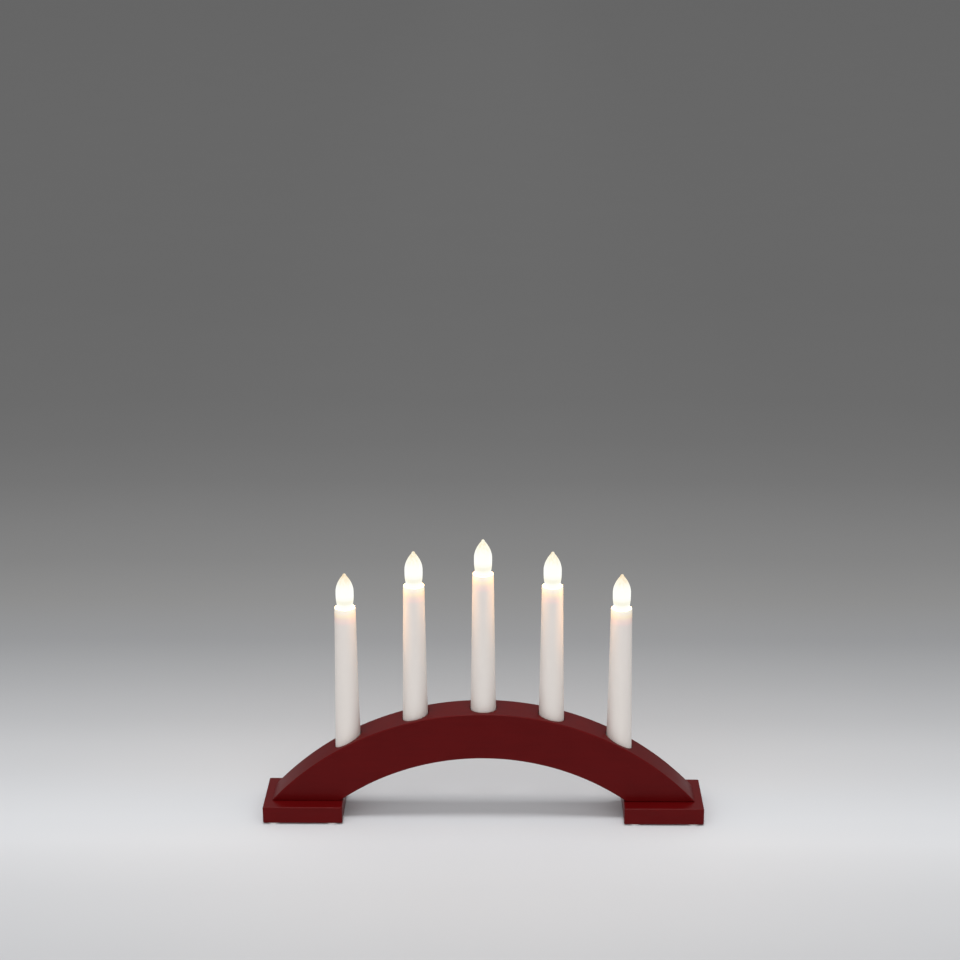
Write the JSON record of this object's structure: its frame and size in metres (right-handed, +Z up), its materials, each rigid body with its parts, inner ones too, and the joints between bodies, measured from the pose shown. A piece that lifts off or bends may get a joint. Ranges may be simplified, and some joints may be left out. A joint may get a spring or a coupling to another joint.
{
  "type": "electric candlestick",
  "caption": "Wooden arch on two foot blocks carrying a row of plastic candle tubes, each with a lampholder and a flame-shaped screw-in lamp.",
  "frame": {"origin": "on the surface that the object stands on, under the middle of the arch in width and depth", "axes": "+X along the arch to the viewer's right, +Y from the front to the back, +Z up"},
  "size_m": [0.36, 0.055, 0.2379],
  "materials": {
    "painted_wood": "dark red satin paint",
    "candle_plastic": "warm white satin plastic that glows near the lamp",
    "socket_plastic": "satin heat-resistant plastic",
    "pad_rubber": "matt white",
    "gland_plastic": "satin white",
    "wire_insulation": "satin white",
    "brass": "bright brass",
    "lamp_glass": "clear glass, lit from inside",
    "lamp_stem": "clear glass stem with a glowing filament"
  },
  "bodies": {
    "stand": {"arch": "painted_wood", "groove_cover": "painted_wood", "cord_gland": "gland_plastic", "foot_left": "painted_wood", "foot_right": "painted_wood", "pad_left_front_outer": "pad_rubber", "pad_left_front_inner": "pad_rubber", "pad_left_back_outer": "pad_rubber", "pad_left_back_inner": "pad_rubber", "pad_right_front_outer": "pad_rubber", "pad_right_front_inner": "pad_rubber", "pad_right_back_outer": "pad_rubber", "pad_right_back_inner": "pad_rubber", "candle_1_tube": "candle_plastic", "socket_1_body": "socket_plastic", "socket_1_shell": "brass", "socket_1_contact": "brass", "candle_2_tube": "candle_plastic", "socket_2_body": "socket_plastic", "socket_2_shell": "brass", "socket_2_contact": "brass", "candle_3_tube": "candle_plastic", "socket_3_body": "socket_plastic", "socket_3_shell": "brass", "socket_3_contact": "brass", "candle_4_tube": "candle_plastic", "socket_4_body": "socket_plastic", "socket_4_shell": "brass", "socket_4_contact": "brass", "candle_5_tube": "candle_plastic", "socket_5_body": "socket_plastic", "socket_5_shell": "brass", "socket_5_contact": "brass", "wire_supply": "wire_insulation", "wire_5_to_4": "wire_insulation", "wire_4_to_3": "wire_insulation", "wire_3_to_2": "wire_insulation", "wire_2_to_1": "wire_insulation", "wire_return": "wire_insulation"},
    "bulb_1_rise": {"bulb_1_contact": "brass"},
    "bulb_1": {"bulb_1_glass": "lamp_glass", "bulb_1_cap": "brass", "bulb_1_stem": "lamp_stem"},
    "bulb_2_rise": {"bulb_2_contact": "brass"},
    "bulb_2": {"bulb_2_glass": "lamp_glass", "bulb_2_cap": "brass", "bulb_2_stem": "lamp_stem"},
    "bulb_3_rise": {"bulb_3_contact": "brass"},
    "bulb_3": {"bulb_3_glass": "lamp_glass", "bulb_3_cap": "brass", "bulb_3_stem": "lamp_stem"},
    "bulb_4_rise": {"bulb_4_contact": "brass"},
    "bulb_4": {"bulb_4_glass": "lamp_glass", "bulb_4_cap": "brass", "bulb_4_stem": "lamp_stem"},
    "bulb_5_rise": {"bulb_5_contact": "brass"},
    "bulb_5": {"bulb_5_glass": "lamp_glass", "bulb_5_cap": "brass", "bulb_5_stem": "lamp_stem"}
  },
  "joints": [
    {"name": "bulb_1_lift", "type": "slide", "parent": "stand", "child": "bulb_1_rise", "axis": [0, 0, 1], "range_m": [0, 0.00544]},
    {"name": "bulb_1_unscrew", "type": "hinge", "parent": "bulb_1_rise", "child": "bulb_1", "pos_m": [-0.111, 0, 0.17978], "axis": [0, 0, 1], "range_deg": [0, 1080]},
    {"name": "bulb_2_lift", "type": "slide", "parent": "stand", "child": "bulb_2_rise", "axis": [0, 0, 1], "range_m": [0, 0.00544]},
    {"name": "bulb_2_unscrew", "type": "hinge", "parent": "bulb_2_rise", "child": "bulb_2", "pos_m": [-0.0555, 0, 0.1987], "axis": [0, 0, 1], "range_deg": [0, 1080]},
    {"name": "bulb_3_lift", "type": "slide", "parent": "stand", "child": "bulb_3_rise", "axis": [0, 0, 1], "range_m": [0, 0.00544]},
    {"name": "bulb_3_unscrew", "type": "hinge", "parent": "bulb_3_rise", "child": "bulb_3", "pos_m": [0, 0, 0.2089], "axis": [0, 0, 1], "range_deg": [0, 1080]},
    {"name": "bulb_4_lift", "type": "slide", "parent": "stand", "child": "bulb_4_rise", "axis": [0, 0, 1], "range_m": [0, 0.00544]},
    {"name": "bulb_4_unscrew", "type": "hinge", "parent": "bulb_4_rise", "child": "bulb_4", "pos_m": [0.0555, 0, 0.1987], "axis": [0, 0, 1], "range_deg": [0, 1080]},
    {"name": "bulb_5_lift", "type": "slide", "parent": "stand", "child": "bulb_5_rise", "axis": [0, 0, 1], "range_m": [0, 0.00544]},
    {"name": "bulb_5_unscrew", "type": "hinge", "parent": "bulb_5_rise", "child": "bulb_5", "pos_m": [0.111, 0, 0.17978], "axis": [0, 0, 1], "range_deg": [0, 1080]}
  ],
  "couplings": [
    {"joint": "bulb_1_unscrew", "follows": "bulb_1_lift", "rad_per_m": 3463.7},
    {"joint": "bulb_2_unscrew", "follows": "bulb_2_lift", "rad_per_m": 3463.7},
    {"joint": "bulb_3_unscrew", "follows": "bulb_3_lift", "rad_per_m": 3463.7},
    {"joint": "bulb_4_unscrew", "follows": "bulb_4_lift", "rad_per_m": 3463.7},
    {"joint": "bulb_5_unscrew", "follows": "bulb_5_lift", "rad_per_m": 3463.7}
  ]
}
